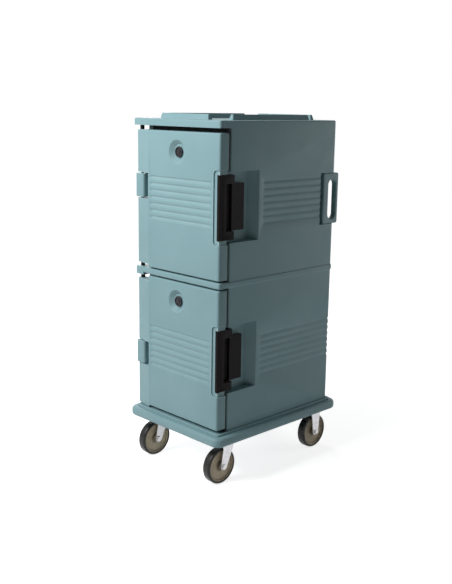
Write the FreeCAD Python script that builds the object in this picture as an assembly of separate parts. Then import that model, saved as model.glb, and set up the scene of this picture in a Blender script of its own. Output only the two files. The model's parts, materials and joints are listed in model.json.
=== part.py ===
"""Insulated food cart: a two-compartment moulded pan carrier on a bumper base with four casters.

Millimetres. X points to the latch side, Y to the rear and Z up; the origin is on the floor, under the
centre of the base.
"""
import FreeCAD, Part
import math
import os

V = FreeCAD.Vector
tiny = 1e-6
near = 1e-3

# Casters
wheel_radius = 69.5
wheel_width = 34.0
wheel_side_inset = 71.0
front_axle_inset = 76.0
rear_axle_inset = 78.0
caster_trail = 30.0
caster_head = 30.0
plate_length = 100.0
plate_width = 88.0
plate_thickness = 4.0
plate_corner = 10.0
race_height = 11.0
race_radius = 29.0
race_taper = 4.0
fork_thickness = 3.5
fork_top_width = 54.0
fork_toe_radius = 14.0
crown_gap = 0.3
hub_length = 42.0
hub_radius = 17.0
hub_side_gap = 0.5
rim_radius = 60.0
rim_width = 28.0
rim_wall = 4.0
web_thickness = 19.0
core_round = 2.0
tread_round = 7.0
axle_radius = 6.0
kingpin_radius = 7.0
kingpin_head = 3.0
kingpin_head_radius = 11.0
bolt_radius = 4.0
bolt_grip = 22.0
bolt_inset = 13.0
hex_sides = 6
hex_height_share = 1.3
hex_radius_share = 1.65
running_clearance = 0.08

# Bumper base
base_width = 521.0
base_depth = 688.0
base_thickness = 45.0
base_corner_radius = 36.0
base_top_round = 14.0
base_bottom_round = 12.0
plinth_height = 8.0
plinth_inset = 22.5
plinth_round = 3.0

# Cabinet
body_width = 456.0
body_depth = 580.0
body_front = -266.5
body_corner_radius = 16.0
latch_corner_radius = 5.0
skin = 7.0
cap_height = 26.5
cap_round = 6.0
cap_ear = -256.0
cap_ear_bevel = 8.0
mid_height = 23.0
mid_round = 6.0
mid_ear = -252.0
mid_ear_bevel = 10.0
belt_proud = 3.5
ear_drop = 8.0
ear_right = -200.0
ear_back = 22.0
ear_round = 10.0
rim_height = 19.5
rim_bar_width = 22.0
rim_draft = 5.0
rim_inset = 46.0
rim_long_end = 81.0
rim_short_end = 111.0
rim_front_end = 104.0
rim_rear_end = 113.0
rim_corner = 4.0
rim_seat = 2.0

# Doors
door_left = -243.0
door_gap = 10.5
door_thickness = 41.5
door_skin = 6.0
door_round = 5.0
door_corner_radius = 9.0
hinge_edge_round = 6.0
bevel_start = -162.0
bevel_depth = 15.5
bevel_blend = 15.0
ear_bevel_start = -136.0
panel_thickness = 4.0
panel_corner = 4.0
plug_height = 13.0
plug_clearance = 9.0
lower_door_gap = 10.5
lower_door_height = 524.0
rail_gap = 6.0
upper_door_height = 518.5
cap_gap = 16.5

# Compartments
liner_width = 340.0
liner_depth = 541.0
liner_wall = 4.0
liner_corner = 22.0
liner_margin = 30.0
flange_width = 14.0
flange_thickness = 3.0
gasket_lip = 2.0
gasket_margin = 2.0
gasket_free = 1.0
gasket_clearance = 0.3
rail_count = 6
rail_reach = 12.0
rail_height = 9.0
rail_round = 3.0
rail_end_gap = 25.0

# Hinges
hinge_x = -227.0
hinge_y = -292.0
hinge_pin_radius = 5.5
hinge_collar_radius = 8.0
hinge_pin_seat = 10.0
hinge_pin_grip = 40.0
hinge_end_play = 0.3
corner_step = 10.0
foot_gap = 5.0
lug_height = 90.0
lug_left = -243.5
lug_right = -195.0
lug_front = -314.0
lug_round = 9.0
lug_edge_round = 3.0
lug_gap = 4.0
lug_notch_back = -188.0
lug_notch_depth = 33.0
upper_lug_drop = 209.0
lower_lug_drop = 314.5

# Vents
vent_drop = 74.0
vent_x = 2.0
vent_radius = 44.0
vent_floor_radius = 28.0
vent_depth = 14.0
vent_cap_radius = 19.5
vent_cap_height = 7.0
vent_tube_radius = 11.0
vent_tube_wall = 2.5
vent_knob_radius = 8.0
vent_slots = 6
vent_slot_radius = 1.8
vent_groove = 2.0

# Latches
latch_height = 230.0
latch_gap = 17.0
latch_pin_radius = 3.0
latch_pin_inset = 9.0
latch_pin_seat = 12.0
latch_barrel = 8.0
latch_end_play = 0.8
latch_inset = 1.0
latch_side_gap = 1.5
latch_plate = 10.0
latch_floor = 4.0
latch_floor_start = 10.0
latch_bar_length = 25.0
latch_arm_height = 31.0
latch_arm_reach = 66.0
latch_web_start = 64.5
latch_web_reach = 126.5
latch_web_sink = 15.0
latch_web_thickness = 8.0
latch_round = 2.5
latch_bead = 4.5
notch_width = 32.0
latch_cut = 30.0
notch_depth = 5.0
notch_corner = 14.0
recess_depth = 31.0
recess_floor = 115.0
recess_ramp = 31.0
recess_gap = 11.0
recess_round = 8.0
keeper_length = 120.0
keeper_width = 18.0
keeper_plate = 1.5
keeper_bead = 3.5
keeper_setback = 60.5
upper_latch_drop = 259.0
lower_latch_drop = 262.5

# Moulded grooves
groove_count = 7
groove_pitch = 25.0
groove_depth = 3.0
groove_half_width = 8.0
wall_groove_rise = 0.7
groove_end_gap = 12.0
groove_runout = 40.0
groove_runout_angle = 30.0
groove_start = 24.0
upper_groove_drop = 249.0
lower_groove_drop = 272.5

# Rear handles
handle_thickness = 24.0
handle_front = 245.0
handle_reach = 90.0
handle_height = 200.0
handle_front_bar = 30.0
handle_rear_bar = 14.0
handle_top_bar = 25.0
handle_low_bar = 17.0
handle_corner = 8.0
handle_edge_round = 4.0
handle_seat = 19.0
handle_drop = 260.0
pocket_lead = 19.0
pocket_gap = 1.0

# Derived places
base_bottom = 2 * wheel_radius + caster_head
base_top = base_bottom + base_thickness
body_right = body_width / 2
body_left = -body_right
body_back = body_front + body_depth
tub_back = body_front + liner_depth + liner_wall
tub_half = liner_width / 2 + liner_wall
door_right = body_right
door_back = body_front - door_gap
door_front = door_back - door_thickness
panel_front = door_back - panel_thickness
lower_door_bottom = base_top + lower_door_gap
lower_door_top = lower_door_bottom + lower_door_height
mid_bottom = lower_door_top + rail_gap
mid_top = mid_bottom + mid_height
upper_door_bottom = mid_top + rail_gap
upper_door_top = upper_door_bottom + upper_door_height
cap_bottom = upper_door_top + cap_gap
cap_top = cap_bottom + cap_height
flange_front = body_front - flange_thickness
latch_pin_x = door_right - latch_pin_inset
latch_pin_y = door_front + latch_pin_inset
notch_left = door_right - notch_width
notch_wall = door_right - latch_cut
panel_left = lug_notch_back + door_skin
panel_right = notch_wall - door_skin
recess_x = body_right - recess_depth
handle_z = upper_door_top - handle_drop
groove_radius = (groove_half_width ** 2 + groove_depth ** 2) / (2 * groove_depth)
groove_lift = groove_radius - groove_depth
wall_groove_lift = groove_lift + wall_groove_rise
plate_bottom = base_bottom - plate_thickness
race_bottom = plate_bottom - race_height
crown_top = race_bottom - crown_gap
crown_bottom = crown_top - fork_thickness
fork_inner = hub_length / 2 + hub_side_gap
fork_outer = fork_inner + fork_thickness

compartments = (
    {"name": "upper", "bottom": upper_door_bottom, "top": upper_door_top,
     "lug": upper_door_top - upper_lug_drop, "latch": upper_door_top - upper_latch_drop,
     "grooves": upper_door_top - upper_groove_drop, "seat_below": mid_top, "seat_above": cap_bottom,
     "gap_below": rail_gap, "gap_above": cap_gap, "step_low": corner_step, "step_high": 0.0, "foot": 0.0},
    {"name": "lower", "bottom": lower_door_bottom, "top": lower_door_top,
     "lug": lower_door_top - lower_lug_drop, "latch": lower_door_top - lower_latch_drop,
     "grooves": lower_door_top - lower_groove_drop, "seat_below": base_top,
     "seat_above": mid_bottom - ear_drop, "gap_below": lower_door_gap, "gap_above": rail_gap,
     "step_low": 0.0, "step_high": corner_step + ear_drop, "foot": lower_door_gap - foot_gap},
)


def rounded_wire(corners, place):
    """Closed wire through (u, v, radius) corners; place(u, v) puts a corner in space."""
    runs = []
    count = len(corners)
    for i, (u, v, radius) in enumerate(corners):
        here = V(u, v, 0)
        before = V(corners[i - 1][0], corners[i - 1][1], 0) - here
        after = V(corners[(i + 1) % count][0], corners[(i + 1) % count][1], 0) - here
        before.normalize()
        after.normalize()
        half = before.getAngle(after) / 2
        reach = radius / math.tan(half)
        middle = before + after
        middle.normalize()
        middle = here + middle * (radius / math.sin(half) - radius)
        runs.append((here + before * reach, middle, here + after * reach, radius))
    edges = []
    for i, (start, middle, end, radius) in enumerate(runs):
        last = runs[i - 1][2]
        if (start - last).Length > tiny:
            edges.append(Part.makeLine(place(last.x, last.y), place(start.x, start.y)))
        if radius > 0:
            arc = Part.Arc(place(start.x, start.y), place(middle.x, middle.y), place(end.x, end.y))
            edges.append(arc.toShape())
    return Part.Wire(edges)


def plan_prism(corners, low, high):
    """Prism of a plan outline between two heights."""
    face = Part.Face(rounded_wire(corners, lambda u, v: V(u, v, low)))
    return face.extrude(V(0, 0, high - low))


def front_prism(corners, start, end):
    """Prism of an outline seen from the front, between two places along Y."""
    face = Part.Face(rounded_wire(corners, lambda u, v: V(u, start, v)))
    return face.extrude(V(0, end - start, 0))


def side_prism(corners, start, end):
    """Prism of an outline seen from the side, between two places along X."""
    face = Part.Face(rounded_wire(corners, lambda u, v: V(start, u, v)))
    return face.extrude(V(end - start, 0, 0))


def rect(u0, u1, v0, v1, radius=0.0):
    """Four corners of a rectangle with one corner radius."""
    return [(u0, v0, radius), (u1, v0, radius), (u1, v1, radius), (u0, v1, radius)]


def box(x0, x1, y0, y1, z0, z1):
    """Box between two corners."""
    return Part.makeBox(x1 - x0, y1 - y0, z1 - z0, V(x0, y0, z0))


def post(x, y, radius, low, high):
    """Upright cylinder."""
    return Part.makeCylinder(radius, high - low, V(x, y, low))


def soften(shape, radius, wanted):
    """Rounds the edges whose bounding box passes the test."""
    edges = [edge for edge in shape.Edges if wanted(edge.BoundBox)]
    return shape.makeFillet(radius, edges)


def level(bounds, height):
    """True for an edge that lies flat at this height."""
    return abs(bounds.ZMin - height) < near and abs(bounds.ZMax - height) < near


def mirrored(shape):
    """Copy on the other side of the cart."""
    return shape.mirror(V(0, 0, 0), V(1, 0, 0))


def ledge_corners(left, bevel, proud=0.0):
    """Plan of a ledge over the doors: bevelled hinge ear, front flush with the doors, walls at the back."""
    right = body_right + proud
    back = body_back + proud
    wall = body_left - proud
    radius = body_corner_radius + proud
    return [
        (right, back, radius), (wall, back, radius),
        (wall, body_front + ear_back, ear_round), (left, body_front - ear_back, ear_round),
        (left, door_front + bevel, ear_round), (ear_bevel_start, door_front, bevel_blend),
        (right, door_front, door_corner_radius),
    ]


def body_corners(inset=0.0):
    """Plan of the cabinet walls, set in by a wall thickness."""
    radius = body_corner_radius - inset
    front_radius = max(latch_corner_radius - inset, 0)
    return [
        (body_right - inset, body_front + inset, front_radius),
        (body_right - inset, body_back - inset, radius),
        (body_left + inset, body_back - inset, radius),
        (body_left + inset, body_front + inset, radius),
    ]


def opening_corners(place, grow):
    """Front outline of a compartment's mouth, grown on all sides."""
    half = liner_width / 2 + grow
    low = place["bottom"] + liner_margin - grow
    high = place["top"] - liner_margin + grow
    return rect(-half, half, low, high, liner_corner + grow)


def tub_corners(place):
    """Front outline of a compartment's tub, outside."""
    return rect(-tub_half, tub_half, place["bottom"] + liner_margin - liner_wall,
                place["top"] - liner_margin + liner_wall)


def latch_span(place, gap):
    """Lowest and highest point of the latch, with a gap at both ends."""
    half = latch_height / 2 + gap
    return place["latch"] - half, place["latch"] + half


def lug_span(place, gap=0.0):
    """Lowest and highest point of the middle hinge lug, with a gap round it."""
    half = lug_height / 2 + gap
    return place["lug"] - half, place["lug"] + half


def recess_corners(grow=0.0):
    """Plan of the finger recess beside the latch: flat floor, then a ramp out to the wall."""
    floor = recess_x - grow
    back = body_front + recess_floor + grow
    outside = body_right + recess_depth
    return [
        (outside, body_front - door_gap, 0), (floor, body_front - door_gap, 0),
        (floor, back, recess_round), (floor + recess_depth + grow, back + recess_ramp + grow, 0),
        (outside, back + recess_ramp + grow, 0),
    ]


def pocket_corners(grow=0.0):
    """Plan of the handle pocket: a seat for the front bar, then the rear corner cut off at a slant."""
    floor = body_right - handle_thickness - grow
    front = handle_front - pocket_lead - grow
    bend = handle_front + handle_seat - grow
    behind = body_back + handle_thickness
    outside = body_right + handle_thickness
    return [
        (outside, front, 0), (floor, front, 0), (floor, bend, 0),
        (floor - (behind - bend), behind, 0), (outside, behind, 0),
    ]


def groove_heights(centre):
    """Heights of a band of grooves."""
    first = centre - groove_pitch * (groove_count - 1) / 2
    return [first + groove_pitch * i for i in range(groove_count)]


def runout(point, along, outward):
    """Arc by which a groove's cutter leaves the wall at the end of its run."""
    centre = point + outward * groove_runout
    angles = [math.radians(groove_runout_angle), math.radians(groove_runout_angle) / 2]
    far, middle = [centre - (outward * math.cos(a) - along * math.sin(a)) * groove_runout for a in angles]
    return Part.Arc(point, middle, far).toShape()


def swept_groove(path):
    """Round cutter along a path of edges that starts with a run-out."""
    wire = Part.Wire(Part.__sortEdges__(path))
    first = wire.OrderedEdges[0]
    start = first.valueAt(first.FirstParameter)
    ring = Part.Wire(Part.makeCircle(groove_radius, start, first.tangentAt(first.FirstParameter)))
    return wire.makePipeShell([ring], True, False)


def straight_groove(start, end, outward):
    """Cutter for a groove between two points on one wall."""
    along = (end - start).normalize()
    run = Part.makeLine(start, end)
    return swept_groove([runout(start, along * -1, outward), run, runout(end, along, outward)])


def wrapped_groove(height, start_right, start_left):
    """Cutter for a groove that runs round the back of the cabinet, from one side wall to the other."""
    side = body_right + wall_groove_lift
    rear = body_back + wall_groove_lift
    turn = (body_corner_radius + wall_groove_lift) * math.cos(math.pi / 4)
    corner_y = body_back - body_corner_radius
    corner_x = body_right - body_corner_radius
    path = [runout(V(side, start_right, height), V(0, -1, 0), V(1, 0, 0)),
            Part.makeLine(V(side, start_right, height), V(side, corner_y, height)),
            Part.Arc(V(side, corner_y, height), V(corner_x + turn, corner_y + turn, height),
                     V(corner_x, rear, height)).toShape(),
            Part.makeLine(V(corner_x, rear, height), V(-corner_x, rear, height)),
            Part.Arc(V(-corner_x, rear, height), V(-corner_x - turn, corner_y + turn, height),
                     V(-side, corner_y, height)).toShape(),
            Part.makeLine(V(-side, corner_y, height), V(-side, start_left, height)),
            runout(V(-side, start_left, height), V(0, -1, 0), V(-1, 0, 0))]
    return swept_groove(path)


def wall_grooves():
    """Cutters for the bands of grooves on the cabinet walls, which are shallower than those of the doors."""
    side = body_right + wall_groove_lift
    rear = body_back + wall_groove_lift
    end = groove_end_gap + groove_runout * math.sin(math.radians(groove_runout_angle))
    front_right = body_front + recess_floor + recess_ramp + end
    front_left = body_front + body_corner_radius + end
    back = handle_front - pocket_lead
    across = body_right - handle_thickness - (body_back - handle_front - handle_seat)
    cutters = []
    for height in groove_heights(compartments[0]["grooves"]):
        cutters.append(straight_groove(V(side, front_right, height), V(side, back, height), V(1, 0, 0)))
        cutters.append(straight_groove(V(-side, front_left, height), V(-side, back, height), V(-1, 0, 0)))
        cutters.append(straight_groove(V(-across, rear, height), V(across, rear, height), V(0, 1, 0)))
    for height in groove_heights(compartments[1]["grooves"]):
        cutters.append(wrapped_groove(height, front_right, front_left))
    return cutters


def rim_places():
    """Feet of the four bars that ring the top deck, open at the corners."""
    outer_x = body_right - rim_inset
    front = door_front + rim_inset
    back = body_back - rim_inset
    long_end = body_right - rim_long_end
    short_end = body_right - rim_short_end
    end_front = door_front + rim_front_end
    end_back = body_back - rim_rear_end
    return [
        (-long_end, short_end, front, front + rim_bar_width),
        (-long_end, long_end, back - rim_bar_width, back),
        (outer_x - rim_bar_width, outer_x, end_front, end_back),
        (-outer_x, rim_bar_width - outer_x, end_front, end_back),
    ]


def rim_foot(foot):
    """Lower part of a bar, which sits in the top deck."""
    return plan_prism(rect(*foot, rim_corner), cap_top - rim_seat, cap_top)


def rim_bar(foot):
    """Drafted bar of the stacking rim."""
    x0, x1, y0, y1 = foot
    crest = rect(x0 + rim_draft, x1 - rim_draft, y0 + rim_draft, y1 - rim_draft, rim_corner)
    sections = [rounded_wire(rect(*foot, rim_corner), lambda u, v: V(u, v, cap_top)),
                rounded_wire(crest, lambda u, v: V(u, v, cap_top + rim_height))]
    return Part.makeLoft(sections, True, True).fuse(rim_foot(foot))


def hinge_lug(place):
    """Block on the cabinet's hinge edge that carries the middle pin of a door."""
    low, high = lug_span(place)
    root = body_front + body_corner_radius
    corners = [(lug_left, lug_front, lug_round), (lug_right, lug_front, lug_round), (lug_right, root, 0),
               (body_left + body_corner_radius / 2, root, 0), (lug_left, hinge_y, lug_round)]
    lug = plan_prism(corners, low, high)
    lug = soften(lug, lug_edge_round, lambda b: level(b, low) or level(b, high))
    start, end = pin_spans(place)[1]
    return lug.cut([plan_prism(body_corners(), low, high),
                    post(hinge_x, hinge_y, hinge_pin_radius, start, end)])


def pocket_half():
    """Half the height of a handle pocket."""
    return handle_height / 2 + pocket_gap


def cabinet_cavity():
    """Space between the outer skin and the liners, open under the cap."""
    cavity = plan_prism(body_corners(skin), base_top + skin, cap_bottom)
    cuts = []
    for place in compartments:
        low, high = latch_span(place, recess_gap)
        cuts.append(plan_prism(recess_corners(skin), low - skin, high + skin))
    half = pocket_half() + skin
    pocket = plan_prism(pocket_corners(skin), handle_z - half, handle_z + half)
    return cavity.cut(cuts + [pocket, mirrored(pocket)])


def cabinet_foam(cavity):
    """Insulation boards by name: three across the tubs, one at the back and one on each side, the latch side
    in strips above, beside and below the finger recesses."""
    far = body_depth
    front = body_front
    tubs = [front_prism(tub_corners(place), flange_front, tub_back) for place in compartments]
    foam = cavity.cut(tubs)
    upper, lower = compartments
    upper_middle = (upper["bottom"] + upper["top"]) / 2
    lower_middle = (lower["bottom"] + lower["top"]) / 2
    spaces = {"top": box(-tub_half, tub_half, front, tub_back, upper_middle, cap_top),
              "middle": box(-tub_half, tub_half, front, tub_back, lower_middle, upper_middle),
              "bottom": box(-tub_half, tub_half, front, tub_back, base_bottom, lower_middle),
              "left": box(-far, -tub_half, front, tub_back, base_bottom, cap_top),
              "back": box(-far, far, tub_back, tub_back + far, base_bottom, cap_top)}
    boards = {"foam_" + name: foam.common(space) for name, space in spaces.items()}
    levels = [base_bottom, mid_bottom, cap_top]
    for place in compartments:
        low, high = latch_span(place, recess_gap)
        levels += [low - skin, high + skin]
    levels.sort()
    slices = [foam.common(box(tub_half, far, front, tub_back, start, end))
              for start, end in zip(levels[:-1], levels[1:])]
    boards["foam_right"] = Part.makeCompound(slices)
    return boards


def middle_ledge():
    """Ledge between the doors with the belt that runs round the cabinet at the same height."""
    ledge = plan_prism(ledge_corners(mid_ear, mid_ear_bevel, belt_proud), mid_bottom, mid_top)
    return soften(ledge, mid_round, lambda b: level(b, mid_bottom) or level(b, mid_top))


def ledge_behind():
    """Space behind the plane of the cabinet's front."""
    return box(-base_width, base_width, body_front, body_front + 2 * body_depth, base_bottom, cap_top)


def end_pin_holes():
    """Cutters for the seats of the doors' end pins."""
    spans = [span for place in compartments for span in pin_spans(place)[::2]]
    return [post(hinge_x, hinge_y, hinge_pin_radius, start, end) for start, end in spans]


def middle_rail():
    """Rail between the doors, flush with their fronts, with a deeper ear at the hinges."""
    outline = ledge_corners(mid_ear, mid_ear_bevel, belt_proud)
    ear = plan_prism(outline, mid_bottom - ear_drop, mid_top - mid_round)
    ear = ear.common(box(-base_width, ear_right, door_front, body_front, base_bottom, cap_top))
    return middle_ledge().fuse(ear).cut([ledge_behind()] + end_pin_holes()).removeSplitter()


def top_cap():
    """Cap that closes the cabinet and overhangs the upper door."""
    cap = plan_prism(ledge_corners(cap_ear, cap_ear_bevel), cap_bottom, cap_top)
    cap = soften(cap, cap_round, lambda b: level(b, cap_top))
    return cap.cut(end_pin_holes() + [rim_foot(foot) for foot in rim_places()])


def cabinet_shell(cavity):
    """Outer moulding: walls with the belt, finger recesses, handle pockets and grooves."""
    walls = plan_prism(body_corners(), base_top, cap_bottom)
    shell = walls.fuse(middle_ledge().common(ledge_behind()))
    cuts = [cavity]
    for place in compartments:
        low, high = latch_span(place, recess_gap)
        cuts.append(plan_prism(recess_corners(), low, high))
        cuts.append(front_prism(tub_corners(place), body_front - skin, body_front + 2 * skin))
    half = pocket_half()
    pocket = plan_prism(pocket_corners(), handle_z - half, handle_z + half)
    cuts += [pocket, mirrored(pocket)]
    return shell.cut(cuts + wall_grooves()).removeSplitter()


def liner(place):
    """Compartment tub with a seal flange round its mouth."""
    tub = front_prism(tub_corners(place), flange_front, tub_back)
    flange = front_prism(opening_corners(place, flange_width), flange_front, body_front)
    hollow = front_prism(opening_corners(place, 0), flange_front, tub_back - liner_wall)
    return tub.fuse(flange).cut(hollow)


def pan_rails(place):
    """Rails for food pans along both sides of a compartment."""
    low = place["bottom"] + liner_margin
    pitch = (place["top"] - liner_margin - low) / (rail_count + 1)
    half = liner_width / 2
    start = body_front + rail_end_gap
    end = tub_back - liner_wall - rail_end_gap
    rails = []
    for i in range(rail_count):
        z = low + pitch * (i + 1)
        corners = [(half, z, 0), (half - rail_reach, z, rail_round),
                   (half - rail_reach, z - rail_height, rail_round), (half, z - rail_height - rail_reach, 0)]
        rail = front_prism(corners, start, end)
        rails += [rail, mirrored(rail)]
    return rails


def door_outline(back):
    """Plan of a door: rounded latch edge, bevelled hinge edge."""
    return [(door_right, back, 0), (door_right, door_front, door_corner_radius),
            (bevel_start, door_front, bevel_blend), (door_left, door_front + bevel_depth, hinge_edge_round),
            (door_left, back, 0)]


def hinge_foot(place):
    """Lower end of a door's hinge edge, which reaches down close to its seat."""
    foot = plan_prism(door_outline(door_back), place["bottom"] - place["foot"], place["bottom"] + door_round)
    return foot.common(box(door_left, bevel_start, door_front, door_back, base_bottom, cap_top))


def door_notches(place):
    """Cutters for the latch notch, the lug notch and the stepped hinge corners."""
    past = door_thickness
    low, high = latch_span(place, latch_end_play)
    step_low, step_high = latch_span(place, latch_gap)
    lug_low, lug_high = lug_span(place, lug_gap)
    deep = door_front + lug_notch_depth
    lug_notch = [(door_left - past, door_front - past, 0), (bevel_start, door_front - past, 0),
                 (bevel_start, deep, 0), (lug_notch_back, deep, 0), (lug_notch_back, door_back + past, 0),
                 (door_left - past, door_back + past, 0)]
    step = front_prism(rect(notch_left, door_right + notch_width, step_low, step_high, notch_corner),
                       door_front - notch_depth, door_front + notch_depth)
    bar_wall = latch_pin_x - latch_barrel - latch_side_gap
    floor_start = latch_pin_y + latch_floor_start - latch_side_gap
    latch_notch = [(bar_wall, door_front - past, 0), (door_right + past, door_front - past, 0),
                   (door_right + past, door_back + past, 0), (notch_wall, door_back + past, 0),
                   (notch_wall, floor_start, 0), (bar_wall, floor_start, 0)]
    cuts = [plan_prism(latch_notch, low, high), step,
            box(door_right - notch_depth, door_right + past, door_front, door_back + past,
                step_low, step_high),
            plan_prism(lug_notch, lug_low, lug_high)]
    if place["step_low"] > 0:
        cuts.append(box(door_left - past, bevel_start, door_front - past, door_back + past,
                        place["bottom"] - past, place["bottom"] + place["step_low"]))
    if place["step_high"] > 0:
        cuts.append(box(door_left - past, bevel_start, door_front - past, door_back + past,
                        place["top"] - place["step_high"], place["top"] + past))
    return cuts


def vent_cone(place, grow=0.0):
    """Conical vent recess in a door's front, grown by a wall thickness."""
    return Part.makeCone(vent_radius + grow, vent_floor_radius + grow, vent_depth + grow,
                         V(vent_x, door_front, place["top"] - vent_drop), V(0, 1, 0))


def vent_bore(place, radius):
    """Round way from the floor of the vent recess to the inside of the door."""
    start = door_front + vent_depth
    return Part.makeCylinder(radius, door_back + plug_height - start,
                             V(vent_x, start, place["top"] - vent_drop), V(0, 1, 0))


def panel_heights(place):
    """Lowest and highest point of the inside of a door."""
    return place["bottom"] + door_skin + place["step_low"], place["top"] - door_skin - place["step_high"]


def door_cavity(place):
    """Space for the foam inside a door."""
    low, high = panel_heights(place)
    cavity = box(bevel_start + door_skin, panel_right, door_front + door_skin, panel_front, low, high)
    return cavity.cut(vent_cone(place, door_skin))


def door_shell(place, cavity):
    """Outer moulding of a door, open at the back where the inner panel closes it."""
    shell = plan_prism(door_outline(door_back), place["bottom"], place["top"])
    shell = soften(shell, door_round, lambda b: (level(b, place["bottom"]) or level(b, place["top"]))
                   and b.YMin < door_back - near)
    if place["foot"] > 0:
        shell = shell.fuse(hinge_foot(place)).removeSplitter()
    low, high = panel_heights(place)
    pin_low, pin_high = latch_span(place, latch_end_play + latch_pin_seat)
    cuts = door_notches(place) + [cavity, vent_cone(place), vent_bore(place, vent_tube_radius),
                                  box(panel_left, panel_right, panel_front, door_back, low, high)]
    cuts += [post(hinge_x, hinge_y, hinge_pin_radius + running_clearance, start - hinge_end_play,
                  end + hinge_end_play) for start, end in pin_spans(place)]
    cuts.append(post(latch_pin_x, latch_pin_y, latch_pin_radius, pin_low, pin_high))
    grooves = [straight_groove(V(bevel_start + groove_start, door_front - groove_lift, z),
                               V(notch_left - groove_start, door_front - groove_lift, z), V(0, -1, 0))
               for z in groove_heights(place["grooves"])]
    return shell.cut(cuts + grooves)


def door_panel(place):
    """Inner panel of a door with the raised plug that enters the compartment's mouth."""
    low, high = panel_heights(place)
    plug = front_prism(opening_corners(place, -plug_clearance), panel_front, door_back + plug_height)
    plug = soften(plug, panel_corner, lambda b: b.YMin > door_back + plug_height - near)
    panel = box(panel_left, panel_right, panel_front, door_back, low, high).fuse(plug)
    return panel.cut(vent_bore(place, vent_tube_radius))


def door_gasket(place):
    """Flat seal behind a door that closes the gaps round it, cut out at the latch."""
    low, high = latch_span(place, latch_gap)
    outline = rect(panel_left, door_right - gasket_margin,
                   place["bottom"] - place["gap_below"] + gasket_free,
                   place["top"] + place["gap_above"] - gasket_free)
    seal = front_prism(outline, door_back, flange_front - gasket_clearance)
    mouth = front_prism(opening_corners(place, gasket_lip), door_back, flange_front)
    return seal.cut([mouth, box(panel_right, door_right, door_back, flange_front, low, high)])


def vent_tube(place):
    """Sleeve that leads steam through the door."""
    return vent_bore(place, vent_tube_radius).cut(vent_bore(place, vent_tube_radius - vent_tube_wall))


def vent_cap(place):
    """Round vent cap on the floor of the recess, with a stem in the sleeve and a ring of slots."""
    floor = door_front + vent_depth
    stem = vent_tube_radius - vent_tube_wall
    face = floor - vent_cap_height
    z = place["top"] - vent_drop
    rim = vent_cap_radius - vent_groove * 2
    corners = [(0, face, 0), (vent_knob_radius, face, 1), (vent_knob_radius, face + vent_groove, 0),
               (rim, face + vent_groove, 0), (rim, face, 0),
               (vent_cap_radius, face, vent_groove), (vent_cap_radius, floor, 0), (stem, floor, 0),
               (stem, floor + vent_cap_height, 0), (0, floor + vent_cap_height, 0)]
    outline = rounded_wire(corners, lambda u, v: V(vent_x + u, v, z))
    cap = Part.Face(outline).revolve(V(vent_x, 0, z), V(0, 1, 0), 360)
    ring = (vent_knob_radius + rim) / 2
    slots = []
    for i in range(vent_slots):
        angle = 2 * math.pi * i / vent_slots
        centre = V(vent_x + ring * math.cos(angle), face, z + ring * math.sin(angle))
        slots.append(Part.makeCylinder(vent_slot_radius, vent_groove * 2, centre, V(0, 1, 0)))
    return cap.cut(slots)


def pin_spans(place):
    """Lowest and highest point of each of a door's three hinge pins."""
    lug_low, lug_high = lug_span(place)
    return [(place["seat_below"] - hinge_pin_seat, place["bottom"] + place["step_low"] + hinge_pin_grip),
            (lug_low - hinge_pin_grip, lug_high + hinge_pin_grip),
            (place["top"] - place["step_high"] - hinge_pin_grip, place["seat_above"] + hinge_pin_seat)]


def hinge_pins(place):
    """Three pins of a door; the end pins have a collar that spaces the door from its seat."""
    pins = [post(hinge_x, hinge_y, hinge_pin_radius, start, end) for start, end in pin_spans(place)]
    low_end = place["bottom"] + place["step_low"] - place["foot"]
    low_collar = post(hinge_x, hinge_y, hinge_collar_radius, place["seat_below"], low_end - hinge_end_play)
    high_collar = post(hinge_x, hinge_y, hinge_collar_radius,
                       place["top"] - place["step_high"] + hinge_end_play, place["seat_above"])
    return [pins[0].fuse(low_collar), pins[1], pins[2].fuse(high_collar)]


def latch(place):
    """Latch lever: a bar on the door's corner, two arms, a finger pocket and a sunk web with a catch bead."""
    low, high = latch_span(place, 0.0)
    face = door_right - latch_inset
    back = face - latch_plate
    floor_back = notch_wall + latch_side_gap
    floor = floor_back + latch_floor
    web_face = door_right - latch_web_sink
    web_back = web_face - latch_web_thickness
    bar_end = latch_pin_y + latch_bar_length
    web_start = latch_pin_y + latch_web_start
    arm_end = latch_pin_y + latch_arm_reach
    web_end = latch_pin_y + latch_web_reach
    inner_low = low + latch_arm_height
    inner_high = high - latch_arm_height
    frame = side_prism(rect(latch_pin_y, arm_end, low, high, latch_round), back, face)
    frame = frame.cut(box(back - latch_plate, face + latch_plate, bar_end, arm_end + latch_plate,
                          inner_low, inner_high))
    frame = soften(frame, latch_round, lambda b: b.XMin > face - near)
    pieces = [post(latch_pin_x, latch_pin_y, latch_barrel, low, high),
              box(floor_back, floor, latch_pin_y + latch_floor_start, arm_end, low, high),
              box(floor, back, latch_pin_y + latch_floor_start, bar_end, low, high),
              box(web_back, web_face, web_start, web_end, inner_low, inner_high),
              box(floor, web_face, web_start, arm_end, inner_low, inner_high),
              post(web_back, web_end - latch_bead, latch_bead, inner_low, inner_high)]
    for start, end in ((low, inner_low), (inner_high, high)):
        pieces.append(box(floor, back, bar_end, arm_end, start, end))
    bore = post(latch_pin_x, latch_pin_y, latch_pin_radius + running_clearance, low, high)
    return frame.fuse(pieces).cut(bore).removeSplitter()


def latch_pin(place):
    """Pin that carries the latch in the door's notch."""
    low, high = latch_span(place, latch_end_play + latch_pin_seat)
    return post(latch_pin_x, latch_pin_y, latch_pin_radius, low, high)


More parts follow.
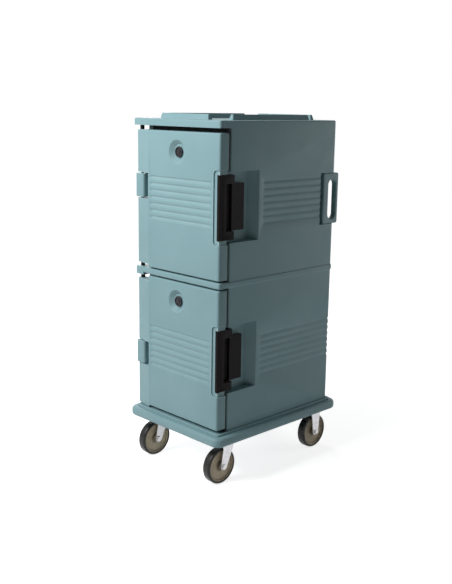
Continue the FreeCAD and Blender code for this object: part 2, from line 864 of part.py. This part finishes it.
def latch_keeper(place):
    """Strike plate with a round ridge on the floor of the finger recess."""
    y = body_front + keeper_setback
    low = place["latch"] - keeper_length / 2
    high = place["latch"] + keeper_length / 2
    plate = box(recess_x, recess_x + keeper_plate, y - keeper_width / 2, y + keeper_width / 2, low, high)
    ridge = post(recess_x + keeper_plate, y, keeper_bead, low, high)
    buried = box(recess_x - keeper_width, recess_x, y - keeper_width, y + keeper_width, low, high)
    return plate.fuse(ridge).cut(buried)


def rear_handle():
    """Loop handle on the latch side; its front bar sits in the pocket, the rest reaches past the corner."""
    low = handle_z - handle_height / 2
    high = handle_z + handle_height / 2
    back = handle_front + handle_reach
    loop = side_prism(rect(handle_front, back, low, high, handle_corner),
                      body_right - handle_thickness, body_right)
    slot_front = handle_front + handle_front_bar
    slot_back = back - handle_rear_bar
    slot_round = (slot_back - slot_front) / 2
    slot = side_prism(rect(slot_front, slot_back, low + handle_low_bar, high - handle_top_bar, slot_round),
                      body_right - 2 * handle_thickness, body_right + handle_thickness)
    loop = loop.cut(slot)
    return soften(loop, handle_edge_round, lambda b: b.XLength < near)


def base_corners(inset):
    """Plan of the bumper base, set in on all sides."""
    half_x = base_width / 2 - inset
    half_y = base_depth / 2 - inset
    return rect(-half_x, half_x, -half_y, half_y, base_corner_radius - inset)


def bumper_base():
    """Bumper plate under the cabinet: a round nose all the way round, and a low plinth for the walls."""
    nose_top = base_top - plinth_height
    plate = plan_prism(base_corners(0.0), base_bottom, nose_top)
    plate = soften(plate, base_top_round, lambda b: level(b, nose_top))
    plate = soften(plate, base_bottom_round, lambda b: level(b, base_bottom))
    plinth = plan_prism(base_corners(plinth_inset), base_bottom + base_bottom_round, base_top)
    plate = plate.fuse(soften(plinth, plinth_round, lambda b: level(b, base_top)))
    cuts = [post(hinge_x, hinge_y, hinge_pin_radius, base_top - hinge_pin_seat, base_top)]
    for place in casters:
        cuts += [post(x, y, bolt_radius, base_bottom, base_bottom + bolt_grip) for x, y in bolt_places(place)]
    return plate.cut(cuts)


def bolt_places(place):
    """Centres of a caster plate's four bolts."""
    dx = plate_width / 2 - bolt_inset
    dy = plate_length / 2 - bolt_inset
    return [(place["x"] + sx * dx, place["plate_y"] + sy * dy) for sx in (-1, 1) for sy in (-1, 1)]


def hexagon(u, v, radius):
    """Corners of a bolt head."""
    turns = [2 * math.pi * i / hex_sides for i in range(hex_sides)]
    return [(u + radius * math.cos(turn), v + radius * math.sin(turn), 0) for turn in turns]


def caster_bolts(place):
    """Four bolts that hold a caster plate to the base."""
    head = bolt_radius * hex_height_share
    bolts = []
    for x, y in bolt_places(place):
        cap = plan_prism(hexagon(x, y, bolt_radius * hex_radius_share), plate_bottom - head, plate_bottom)
        bolts.append(cap.fuse(post(x, y, bolt_radius, plate_bottom, base_bottom + bolt_grip)))
    return bolts


def caster_plate(place):
    """Top plate of a caster with its bolt holes."""
    x = place["x"]
    y = place["plate_y"]
    half_x = plate_width / 2
    half_y = plate_length / 2
    outline = rect(x - half_x, x + half_x, y - half_y, y + half_y, plate_corner)
    plate = plan_prism(outline, plate_bottom, base_bottom)
    return plate.cut([post(bx, by, bolt_radius, plate_bottom, base_bottom) for bx, by in bolt_places(place)])


def swivel_plate(place):
    """Top plate with the race housing that the fork turns under."""
    x = place["x"]
    y = place["plate_y"]
    race = Part.makeCone(race_radius - race_taper, race_radius, race_height, V(x, y, race_bottom))
    hole = post(x, y, kingpin_radius, race_bottom, base_bottom)
    return caster_plate(place).fuse(race).cut(hole)


def kingpin(place):
    """Rivet that holds a fork under its race."""
    x = place["x"]
    y = place["plate_y"]
    head_top = crown_bottom - crown_gap
    head = post(x, y, kingpin_head_radius, head_top - kingpin_head, head_top)
    return head.fuse(post(x, y, kingpin_radius, head_top, base_bottom))


def fork_legs(place, top):
    """Two pressed legs from under the plate to the axle."""
    y = place["plate_y"]
    axle = place["axle_y"]
    half = fork_top_width / 2
    toe = fork_toe_radius
    outline = [(y - half, top, 0), (y + half, top, 0), (axle + toe, wheel_radius - toe, toe - near),
               (axle - toe, wheel_radius - toe, toe - near)]
    legs = []
    for sign in (-1, 1):
        leg = side_prism(outline, place["x"] + sign * fork_inner, place["x"] + sign * fork_outer)
        legs.append(leg)
    return legs


def axle_hole(place):
    """Bore for the axle through both legs."""
    start = V(place["x"] - fork_outer, place["axle_y"], wheel_radius)
    return Part.makeCylinder(axle_radius, 2 * fork_outer, start, V(1, 0, 0))


def swivel_fork(place):
    """Fork of a swivel caster: crown with a running bore on the kingpin, and two raked legs."""
    x = place["x"]
    y = place["plate_y"]
    half = fork_top_width / 2
    crown = plan_prism(rect(x - fork_outer, x + fork_outer, y - half, y + half), crown_bottom, crown_top)
    bore = post(x, y, kingpin_radius + running_clearance, crown_bottom, crown_top)
    return crown.fuse(fork_legs(place, crown_top)).cut([bore, axle_hole(place)]).removeSplitter()


def rigid_fork(place):
    """Fork of a rigid caster: top plate and two upright legs in one piece."""
    return caster_plate(place).fuse(fork_legs(place, plate_bottom)).cut(axle_hole(place)).removeSplitter()


def axle(place):
    """Axle bolt with its head and nut outside the legs."""
    x = place["x"]
    outline = hexagon(place["axle_y"], wheel_radius, axle_radius * hex_radius_share)
    height = axle_radius * hex_height_share
    head = side_prism(outline, x + fork_outer, x + fork_outer + height)
    nut = side_prism(outline, x - fork_outer - height, x - fork_outer)
    return axle_hole(place).fuse([head, nut])


def wheel_ring(place, corners):
    """Ring turned about a caster's axle from an outline of (along the axle, radius)."""
    axis = V(place["x"], place["axle_y"], wheel_radius)
    outline = rounded_wire(corners, lambda u, v: axis + V(u, 0, v))
    return Part.Face(outline).revolve(axis, V(1, 0, 0), 360)


def wheel_core(place):
    """Wheel centre: hub, web and rim."""
    bore = axle_radius + running_clearance
    hub = hub_length / 2
    web = web_thickness / 2
    rim = rim_width / 2
    seat = rim_radius - rim_wall
    half = [(hub, bore, 0), (hub, hub_radius, core_round), (web, hub_radius, core_round),
            (web, seat, core_round), (rim, seat, core_round), (rim, rim_radius, 0)]
    return wheel_ring(place, half + [(-u, v, r) for u, v, r in reversed(half)])


def tyre(place):
    """Solid tyre on the wheel centre."""
    half = wheel_width / 2
    return wheel_ring(place, [(half, rim_radius, 0), (half, wheel_radius, tread_round),
                              (-half, wheel_radius, tread_round), (-half, rim_radius, 0)])


def caster(name, side, axle_y, swivels):
    """Places of one caster; a swivel caster's plate stands behind its axle by the trail."""
    trail = caster_trail if swivels else 0.0
    return {"name": name, "x": side * (base_width / 2 - wheel_side_inset), "axle_y": axle_y,
            "plate_y": axle_y + trail, "swivels": swivels}


front_axle_y = front_axle_inset - base_depth / 2
rear_axle_y = base_depth / 2 - rear_axle_inset
casters = (caster("front_left", -1, front_axle_y, True), caster("front_right", 1, front_axle_y, True),
           caster("rear_left", -1, rear_axle_y, False), caster("rear_right", 1, rear_axle_y, False))


def build():
    """All pieces of the cart by name."""
    cavity = cabinet_cavity()
    handle = rear_handle()
    lugs = [hinge_lug(place) for place in compartments]
    bars = [rim_bar(foot) for foot in rim_places()]
    nodes = {"cabinet_shell": cabinet_shell(cavity), "top_cap": top_cap(), "middle_rail": middle_rail(),
             "stacking_rim": Part.makeCompound(bars), "hinge_lugs": Part.makeCompound(lugs),
             "bumper_base": bumper_base(), "rear_handle_right": handle, "rear_handle_left": mirrored(handle)}
    nodes.update(cabinet_foam(cavity))
    for place in compartments:
        name = place["name"]
        hollow = door_cavity(place)
        nodes[name + "_liner"] = liner(place)
        nodes[name + "_pan_rails"] = Part.makeCompound(pan_rails(place))
        nodes[name + "_door_shell"] = door_shell(place, hollow)
        nodes[name + "_door_foam"] = hollow.cut(vent_bore(place, vent_tube_radius))
        nodes[name + "_door_panel"] = door_panel(place)
        nodes[name + "_door_gasket"] = door_gasket(place)
        nodes[name + "_vent_tube"] = vent_tube(place)
        nodes[name + "_vent_cap"] = vent_cap(place)
        nodes[name + "_hinge_pins"] = Part.makeCompound(hinge_pins(place))
        nodes[name + "_latch"] = latch(place)
        nodes[name + "_latch_pin"] = latch_pin(place)
        nodes[name + "_latch_keeper"] = latch_keeper(place)
    bolts = []
    for place in casters:
        name = place["name"]
        if place["swivels"]:
            nodes[name + "_caster_plate"] = swivel_plate(place)
            nodes[name + "_kingpin"] = kingpin(place)
            nodes[name + "_fork"] = swivel_fork(place)
        else:
            nodes[name + "_fork"] = rigid_fork(place)
        nodes[name + "_axle"] = axle(place)
        nodes[name + "_wheel_core"] = wheel_core(place)
        nodes[name + "_tyre"] = tyre(place)
        bolts += caster_bolts(place)
    nodes["caster_bolts"] = Part.makeCompound(bolts)
    return nodes


os.makedirs("parts", exist_ok=True)
for node, shape in build().items():
    shape.exportStep("parts/" + node + ".step")
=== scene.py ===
"""Looks of the insulated food cart: finishes for its pieces, a pale studio and the photograph's view.

Metres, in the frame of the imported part: X to the latch side, Y to the rear, Z up.
"""
import json
import math

import bpy
from mathutils import Matrix, Vector

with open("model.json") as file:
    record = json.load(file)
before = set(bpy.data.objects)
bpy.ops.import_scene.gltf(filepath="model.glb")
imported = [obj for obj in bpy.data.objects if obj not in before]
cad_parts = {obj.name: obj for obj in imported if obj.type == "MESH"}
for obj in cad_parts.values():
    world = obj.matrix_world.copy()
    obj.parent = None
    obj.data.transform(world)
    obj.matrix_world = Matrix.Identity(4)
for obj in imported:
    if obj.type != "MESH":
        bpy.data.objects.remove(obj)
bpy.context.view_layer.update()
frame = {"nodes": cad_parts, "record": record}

# View of the photograph: angles in degrees, focal length and centre in pixels, sensor in millimetres
PHOTO_WIDTH = 452
PHOTO_HEIGHT = 584
VIEW_AZIMUTH = 44.979
VIEW_ELEVATION = 11.659
VIEW_ROLL = 0.979
VIEW_DISTANCE = 3.4438
VIEW_TARGET = Vector((0.0, 0.0, 0.7))
FOCAL_PIXELS = 864.13
CENTRE_PIXEL = (236.62, 283.69)
SENSOR_WIDTH = 36.0

# Floor and background; the lift that turns the floor white grows from the near to the far distance
FLOOR_SIZE = 60.0
FLOOR_COLOUR = (0.82, 0.82, 0.82, 1.0)
FLOOR_NEAR = 0.5
FLOOR_FAR = 2.6
FLOOR_LIFT_NEAR = 0.8
FLOOR_LIFT_FAR = 1.0
WORLD_LIGHT = 0.015
WHITE = (1.0, 1.0, 1.0, 1.0)
BACKGROUND_RAYS = ("Is Camera Ray", "Is Glossy Ray", "Is Transmission Ray")

# Square soft lamps: place, point aimed at, side in metres and power in watts
LAMPS = {
    "key": {"place": (-0.5, -2.35, 2.5), "target": (0.0, -0.3, 0.85), "size": 1.4, "power": 87.0},
    "fill": {"place": (1.7, 3.0, 1.0), "target": (0.2, 0.0, 0.4), "size": 1.6, "power": 19.0},
    "back": {"place": (-2.8, 1.1, 1.9), "target": (-0.1, 0.1, 0.7), "size": 1.4, "power": 24.0},
}

# Part of the noise texture's range that holds nearly all of its values
NOISE_LOW = 0.3
NOISE_HIGH = 0.7

# Depth of the textures in the surfaces
ORANGE_PEEL_DEPTH = 0.00025
MOULD_GRAIN_DEPTH = 0.00006
NYLON_GRAIN_DEPTH = 0.00008
RUBBER_GRAIN_DEPTH = 0.00008
STEEL_GRAIN_DEPTH = 0.00003
FOAM_CELL_DEPTH = 0.0005

# Outer mouldings, and those of them whose free edges are worn and get a painted highlight
MOULDING_GLOSS = 0.2
MOULDING_ROUGHNESS = 0.42
TEAL_DARK = (0.208, 0.343, 0.371)
TEAL_LIGHT = (0.232, 0.376, 0.404)
# Lighter colour of the free edges: wear and a painted highlight
TEAL_WEAR_AND_PAINTED_HIGHLIGHT = (0.3, 0.455, 0.48)
WORN_AND_HIGHLIT_NODES = ("upper_door_shell", "lower_door_shell", "bumper_base", "hinge_lugs", "rear_handle_right",
                "rear_handle_left")

# Worn edges with a painted highlight: how far the look into the solid reaches, and its openness where the
# wear and painted highlight are full and end
WEAR_AND_HIGHLIGHT_REACH = 0.0035
WEAR_AND_HIGHLIGHT_FULL = 0.7
WEAR_AND_HIGHLIGHT_NONE = 0.98

# Painted shade on a wheel core from the axle, 0, to its outer edge, 1: dark round the hub and in a ring just
# inside the rim
WHEEL_PAINTED_SHADE = [(0.3, (0.3, 0.29, 0.28)), (0.42, (0.86, 0.85, 0.86)), (0.8, (0.92, 0.91, 0.92)),
               (0.91, (0.42, 0.41, 0.4)), (0.945, (1.0, 1.0, 1.0)), (1.0, (1.0, 1.0, 1.0))]

# Turns places from 0 to 1 in a wheel's box into places from -1 to 1 about its axle, which lies along X
WHEEL_STRETCH = (0.0, 2.0, 2.0)
WHEEL_SHIFT = (0.0, -1.0, -1.0)

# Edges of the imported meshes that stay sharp
SHARP_ANGLE = math.radians(35)
WELD_DISTANCE = 1e-5


def new_finish(name, settings):
    """Material with these constant values on its shader; returns the material, its tree and the shader."""
    material = bpy.data.materials.new(name)
    material.use_nodes = True
    tree = material.node_tree
    shader = tree.nodes["Principled BSDF"]
    for socket, value in settings.items():
        shader.inputs[socket].default_value = value
    return material, tree, shader


def noise(tree, scale, detail, stretch=(1.0, 1.0, 1.0)):
    """Noise in the piece's own space; scale is in features to the metre."""
    place = tree.nodes.new("ShaderNodeTexCoord")
    mapping = tree.nodes.new("ShaderNodeMapping")
    mapping.inputs["Scale"].default_value = stretch
    texture = tree.nodes.new("ShaderNodeTexNoise")
    texture.inputs["Scale"].default_value = scale
    texture.inputs["Detail"].default_value = detail
    tree.links.new(place.outputs["Object"], mapping.inputs["Vector"])
    tree.links.new(mapping.outputs["Vector"], texture.inputs["Vector"])
    return texture.outputs["Fac"]


def span(tree, value, low, high, to_low, to_high):
    """Value mapped from one range to another."""
    node = tree.nodes.new("ShaderNodeMapRange")
    for socket, number in (("From Min", low), ("From Max", high), ("To Min", to_low), ("To Max", to_high)):
        node.inputs[socket].default_value = number
    tree.links.new(value, node.inputs["Value"])
    return node.outputs["Result"]


def tones(tree, value, stops):
    """Colour ramp through (place, colour) stops."""
    node = tree.nodes.new("ShaderNodeValToRGB")
    points = node.color_ramp.elements
    while len(points) < len(stops):
        points.new(1.0)
    for point, (place, colour) in zip(points, stops):
        point.position = place
        point.color = (*colour, 1.0)
    tree.links.new(value, node.inputs["Fac"])
    return node.outputs["Color"]


def two_tones(tree, value, dark, light, dark_to=NOISE_LOW, light_from=NOISE_HIGH):
    """Colour that turns from dark to light over a range of a noise value."""
    return tones(tree, value, [(dark_to, dark), (light_from, light)])


def uneven_sheen(tree, shader, value, roughness, smoother, duller):
    """Roughness of the shader that varies with a noise value, so far below and above its middle."""
    patches = span(tree, value, NOISE_LOW, NOISE_HIGH, roughness - smoother, roughness + duller)
    tree.links.new(patches, shader.inputs["Roughness"])


def bumps(tree, shader, heights):
    """Bump on the shader from (height, depth in metres) pairs, the first one deepest in the stack."""
    normal = None
    for height, depth in heights:
        node = tree.nodes.new("ShaderNodeBump")
        node.inputs["Distance"].default_value = depth
        tree.links.new(height, node.inputs["Height"])
        if normal is not None:
            tree.links.new(normal, node.inputs["Normal"])
        normal = node.outputs["Normal"]
    tree.links.new(normal, shader.inputs["Normal"])


def wear_and_painted_highlight(tree, colour, wear_highlight_colour):
    """Colour that turns to the edge colour on outer edges, where the solid below the surface is thin: wear
    and a painted highlight.
    """
    # Painted highlight, with wear, on the outer edges
    depth = tree.nodes.new("ShaderNodeAmbientOcclusion")
    depth.inside = True
    depth.only_local = True
    depth.inputs["Distance"].default_value = WEAR_AND_HIGHLIGHT_REACH
    mix = tree.nodes.new("ShaderNodeMix")
    mix.data_type = "RGBA"
    edge = span(tree, depth.outputs["AO"], WEAR_AND_HIGHLIGHT_FULL, WEAR_AND_HIGHLIGHT_NONE, 1.0, 0.0)
    tree.links.new(edge, mix.inputs["Factor"])
    tree.links.new(colour, mix.inputs["A"])
    mix.inputs["B"].default_value = (*wear_highlight_colour, 1.0)
    return mix.outputs["Result"]


def painted_ring_shade(tree, colour, shade_rings):
    """Colour times painted shade in rings round a wheel's axle."""
    place = tree.nodes.new("ShaderNodeTexCoord")
    centred = tree.nodes.new("ShaderNodeVectorMath")
    centred.operation = "MULTIPLY_ADD"
    centred.inputs[1].default_value = WHEEL_STRETCH
    centred.inputs[2].default_value = WHEEL_SHIFT
    radius = tree.nodes.new("ShaderNodeVectorMath")
    radius.operation = "LENGTH"
    tree.links.new(place.outputs["Generated"], centred.inputs[0])
    tree.links.new(centred.outputs["Vector"], radius.inputs[0])
    # Painted shade: darker round the hub and just inside the rim
    ring_shade = tree.nodes.new("ShaderNodeMix")
    ring_shade.data_type = "RGBA"
    ring_shade.blend_type = "MULTIPLY"
    ring_shade.inputs["Factor"].default_value = 1.0
    tree.links.new(colour, ring_shade.inputs["A"])
    tree.links.new(tones(tree, radius.outputs["Value"], shade_rings), ring_shade.inputs["B"])
    return ring_shade.outputs["Result"]


def moulded_plastic(name, dark, light, roughness, edge=None):
    """Satin moulded polyethylene: mottle, duller patches, orange peel, fine grain and any worn edges with a
    painted highlight.
    """
    material, tree, shader = new_finish(name, {"Specular IOR Level": MOULDING_GLOSS})
    colour = two_tones(tree, noise(tree, scale=5.0, detail=4.0), dark, light)
    if edge:
        colour = wear_and_painted_highlight(tree, colour, edge)
    tree.links.new(colour, shader.inputs["Base Color"])
    uneven_sheen(tree, shader, noise(tree, scale=24.0, detail=3.0), roughness, smoother=0.05, duller=0.06)
    orange_peel = noise(tree, scale=260.0, detail=1.0)
    grain = noise(tree, scale=1400.0, detail=2.0)
    bumps(tree, shader, [(orange_peel, ORANGE_PEEL_DEPTH), (grain, MOULD_GRAIN_DEPTH)])
    return material


def nylon(name, dark, light, roughness, gloss, shade_rings=None):
    """Hard moulded nylon with a fine spark-eroded grain, and on a wheel painted shade in rings round the hub
    and inside the rim.
    """
    material, tree, shader = new_finish(name, {"Specular IOR Level": gloss})
    colour = two_tones(tree, noise(tree, scale=60.0, detail=4.0), dark, light, light_from=0.75)
    if shade_rings:
        colour = painted_ring_shade(tree, colour, shade_rings)
    tree.links.new(colour, shader.inputs["Base Color"])
    uneven_sheen(tree, shader, noise(tree, scale=90.0, detail=3.0), roughness, smoother=0.06, duller=0.08)
    bumps(tree, shader, [(noise(tree, scale=1800.0, detail=2.0), NYLON_GRAIN_DEPTH)])
    return material


def rubber(name, dark, light, roughness, gloss):
    """Solid tyre or seal rubber, a little dusty in places."""
    material, tree, shader = new_finish(name, {"Specular IOR Level": gloss})
    dust = noise(tree, scale=45.0, detail=5.0)
    colour = two_tones(tree, dust, dark, light, dark_to=0.35, light_from=0.8)
    tree.links.new(colour, shader.inputs["Base Color"])
    uneven_sheen(tree, shader, noise(tree, scale=30.0, detail=4.0), roughness, smoother=0.07, duller=0.12)
    bumps(tree, shader, [(noise(tree, scale=700.0, detail=3.0), RUBBER_GRAIN_DEPTH)])
    return material


def plated_steel(name, dark, light, roughness, stretch):
    """Plated or brushed steel; the stretch draws the grain out along one way."""
    material, tree, shader = new_finish(name, {"Metallic": 1.0})
    colour = two_tones(tree, noise(tree, scale=70.0, detail=5.0), dark, light)
    tree.links.new(colour, shader.inputs["Base Color"])
    grain = noise(tree, scale=500.0, detail=3.0, stretch=stretch)
    uneven_sheen(tree, shader, grain, roughness, smoother=0.08, duller=0.1)
    bumps(tree, shader, [(grain, STEEL_GRAIN_DEPTH)])
    return material


def rigid_foam(name, dark, light, roughness):
    """Rigid poured foam: open cells and a slightly uneven tone."""
    material, tree, shader = new_finish(name, {"Roughness": roughness})
    colour = two_tones(tree, noise(tree, scale=40.0, detail=4.0), dark, light)
    tree.links.new(colour, shader.inputs["Base Color"])
    bumps(tree, shader, [(noise(tree, scale=600.0, detail=4.0), FOAM_CELL_DEPTH)])
    return material


# One finish for each material slot of the record, and the moulding with worn edges and a painted highlight
# on them
finishes = {
    "moulding": moulded_plastic("moulding", TEAL_DARK, TEAL_LIGHT, MOULDING_ROUGHNESS),
    "worn_highlit_moulding": moulded_plastic("worn_highlit_moulding", TEAL_DARK, TEAL_LIGHT, MOULDING_ROUGHNESS,
                                       edge=TEAL_WEAR_AND_PAINTED_HIGHLIGHT),
    "inner_moulding": moulded_plastic("inner_moulding", dark=(0.198, 0.34, 0.37), light=(0.22, 0.37, 0.4),
                                      roughness=0.5),
    "foam": rigid_foam("foam", dark=(0.62, 0.5, 0.26), light=(0.72, 0.62, 0.38), roughness=0.9),
    "seal": rubber("seal", dark=(0.004, 0.004, 0.005), light=(0.01, 0.01, 0.011), roughness=0.7, gloss=0.2),
    "latch_black": nylon("latch_black", dark=(0.009, 0.0075, 0.0078), light=(0.015, 0.0125, 0.013),
                         roughness=0.5, gloss=0.06),
    "vent_black": nylon("vent_black", dark=(0.016, 0.016, 0.02), light=(0.03, 0.03, 0.036), roughness=0.35,
                        gloss=0.25),
    "hinge_black": nylon("hinge_black", dark=(0.004, 0.004, 0.004), light=(0.01, 0.01, 0.01), roughness=0.5,
                         gloss=0.08),
    "steel": plated_steel("steel", dark=(0.5, 0.5, 0.5), light=(0.62, 0.61, 0.6), roughness=0.36,
                          stretch=(1.0, 1.0, 0.1)),
    "zinc": plated_steel("zinc", dark=(0.5, 0.5, 0.52), light=(0.64, 0.64, 0.66), roughness=0.42,
                         stretch=(1.0, 1.0, 1.0)),
    "wheel_core": nylon("wheel_core", dark=(0.56, 0.475, 0.325), light=(0.72, 0.62, 0.44), roughness=0.45,
                        gloss=0.4, shade_rings=WHEEL_PAINTED_SHADE),
    "tyre": rubber("tyre", dark=(0.01, 0.0095, 0.0085), light=(0.022, 0.021, 0.019), roughness=0.26,
                   gloss=0.3),
}


def smooth_shading():
    """Geometry nodes that weld a mesh and shade it smooth up to the sharp angle."""
    group = bpy.data.node_groups.new("smooth_shading", "GeometryNodeTree")
    group.interface.new_socket("Geometry", in_out="INPUT", socket_type="NodeSocketGeometry")
    group.interface.new_socket("Geometry", in_out="OUTPUT", socket_type="NodeSocketGeometry")
    start = group.nodes.new("NodeGroupInput")
    end = group.nodes.new("NodeGroupOutput")
    weld = group.nodes.new("GeometryNodeMergeByDistance")
    weld.inputs["Distance"].default_value = WELD_DISTANCE
    faces = group.nodes.new("GeometryNodeSetShadeSmooth")
    faces.domain = "FACE"
    faces.inputs["Shade Smooth"].default_value = True
    angle = group.nodes.new("GeometryNodeInputMeshEdgeAngle")
    sharp = group.nodes.new("FunctionNodeCompare")
    sharp.data_type = "FLOAT"
    sharp.operation = "GREATER_THAN"
    sharp.inputs["B"].default_value = SHARP_ANGLE
    creases = group.nodes.new("GeometryNodeSetShadeSmooth")
    creases.domain = "EDGE"
    creases.inputs["Shade Smooth"].default_value = False
    group.links.new(start.outputs[0], weld.inputs["Geometry"])
    group.links.new(weld.outputs["Geometry"], faces.inputs["Geometry"])
    group.links.new(angle.outputs["Unsigned Angle"], sharp.inputs["A"])
    group.links.new(sharp.outputs["Result"], creases.inputs["Selection"])
    group.links.new(faces.outputs["Geometry"], creases.inputs["Geometry"])
    group.links.new(creases.outputs["Geometry"], end.inputs[0])
    return group


def dress_nodes():
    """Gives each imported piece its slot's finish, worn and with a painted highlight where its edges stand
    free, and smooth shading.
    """
    shading = smooth_shading()
    for part in frame["record"]["subparts"]:
        piece = frame["nodes"][part["node"]]
        finish = "worn_highlit_moulding" if part["node"] in WORN_AND_HIGHLIT_NODES else part["material_slot"]
        piece.data.materials.clear()
        piece.data.materials.append(finishes[finish])
        piece.modifiers.new("shading", "NODES").node_group = shading


def seen_white(tree, shown, hidden):
    """Mixes two shaders: the first for rays that show the background, the second for the light on things."""
    path = tree.nodes.new("ShaderNodeLightPath")
    shows = path.outputs[BACKGROUND_RAYS[0]]
    for ray in BACKGROUND_RAYS[1:]:
        either = tree.nodes.new("ShaderNodeMath")
        either.operation = "MAXIMUM"
        tree.links.new(shows, either.inputs[0])
        tree.links.new(path.outputs[ray], either.inputs[1])
        shows = either.outputs["Value"]
    mix = tree.nodes.new("ShaderNodeMixShader")
    tree.links.new(shows, mix.inputs["Fac"])
    tree.links.new(hidden, mix.inputs[1])
    tree.links.new(shown, mix.inputs[2])
    return mix.outputs["Shader"]


def studio_floor():
    """Pale floor that takes the cart's shadow near by and runs out to white."""
    bpy.ops.mesh.primitive_plane_add(size=FLOOR_SIZE)
    floor = bpy.context.object
    floor.name = "floor"
    material = bpy.data.materials.new("floor")
    material.use_nodes = True
    tree = material.node_tree
    tree.nodes.clear()
    output = tree.nodes.new("ShaderNodeOutputMaterial")
    matte = tree.nodes.new("ShaderNodeBsdfDiffuse")
    matte.inputs["Color"].default_value = FLOOR_COLOUR
    lift = tree.nodes.new("ShaderNodeEmission")
    place = tree.nodes.new("ShaderNodeTexCoord")
    distance = tree.nodes.new("ShaderNodeVectorMath")
    distance.operation = "LENGTH"
    tree.links.new(place.outputs["Object"], distance.inputs[0])
    strength = span(tree, distance.outputs["Value"], FLOOR_NEAR, FLOOR_FAR, FLOOR_LIFT_NEAR, FLOOR_LIFT_FAR)
    tree.links.new(strength, lift.inputs["Strength"])
    both = tree.nodes.new("ShaderNodeAddShader")
    tree.links.new(matte.outputs["BSDF"], both.inputs[0])
    tree.links.new(lift.outputs["Emission"], both.inputs[1])
    shader = seen_white(tree, both.outputs["Shader"], matte.outputs["BSDF"])
    tree.links.new(shader, output.inputs["Surface"])
    floor.data.materials.append(material)


def studio_world():
    """White where it is seen, a low even light elsewhere."""
    world = bpy.data.worlds.new("studio")
    bpy.context.scene.world = world
    world.use_nodes = True
    tree = world.node_tree
    tree.nodes.clear()
    output = tree.nodes.new("ShaderNodeOutputWorld")
    seen = tree.nodes.new("ShaderNodeBackground")
    seen.inputs["Color"].default_value = WHITE
    light = tree.nodes.new("ShaderNodeBackground")
    light.inputs["Color"].default_value = WHITE
    light.inputs["Strength"].default_value = WORLD_LIGHT
    shader = seen_white(tree, seen.outputs["Background"], light.outputs["Background"])
    tree.links.new(shader, output.inputs["Surface"])


def softbox(name, place, target, size, power):
    """Square area lamp aimed at a point."""
    lamp = bpy.data.lights.new(name, "AREA")
    lamp.size = size
    lamp.energy = power
    holder = bpy.data.objects.new(name, lamp)
    holder.location = place
    holder.rotation_euler = (Vector(target) - Vector(place)).to_track_quat("-Z", "Y").to_euler()
    bpy.context.scene.collection.objects.link(holder)


def photo_camera():
    """Camera at the photograph's place, turn and framing."""
    azimuth = math.radians(VIEW_AZIMUTH)
    elevation = math.radians(VIEW_ELEVATION)
    roll = math.radians(VIEW_ROLL)
    back = Vector((math.sin(azimuth) * math.cos(elevation), -math.cos(azimuth) * math.cos(elevation),
                   math.sin(elevation)))
    right = Vector((math.cos(azimuth), math.sin(azimuth), 0.0))
    up = back.cross(right)
    across = right * math.cos(roll) + up * math.sin(roll)
    upward = up * math.cos(roll) - right * math.sin(roll)
    data = bpy.data.cameras.new("camera")
    data.sensor_width = SENSOR_WIDTH
    data.lens = FOCAL_PIXELS * SENSOR_WIDTH / PHOTO_HEIGHT
    data.shift_x = (PHOTO_WIDTH / 2 - CENTRE_PIXEL[0]) / PHOTO_HEIGHT
    data.shift_y = (CENTRE_PIXEL[1] - PHOTO_HEIGHT / 2) / PHOTO_HEIGHT
    camera = bpy.data.objects.new("camera", data)
    turn = Matrix((across, upward, back)).transposed().to_4x4()
    camera.matrix_world = Matrix.Translation(VIEW_TARGET + back * VIEW_DISTANCE) @ turn
    bpy.context.scene.collection.objects.link(camera)
    bpy.context.scene.camera = camera


def set_studio():
    """Floor, world, lamps and camera."""
    bpy.context.scene.view_settings.view_transform = "Standard"
    studio_floor()
    studio_world()
    for name, lamp in LAMPS.items():
        softbox(name, **lamp)
    photo_camera()


dress_nodes()
set_studio()
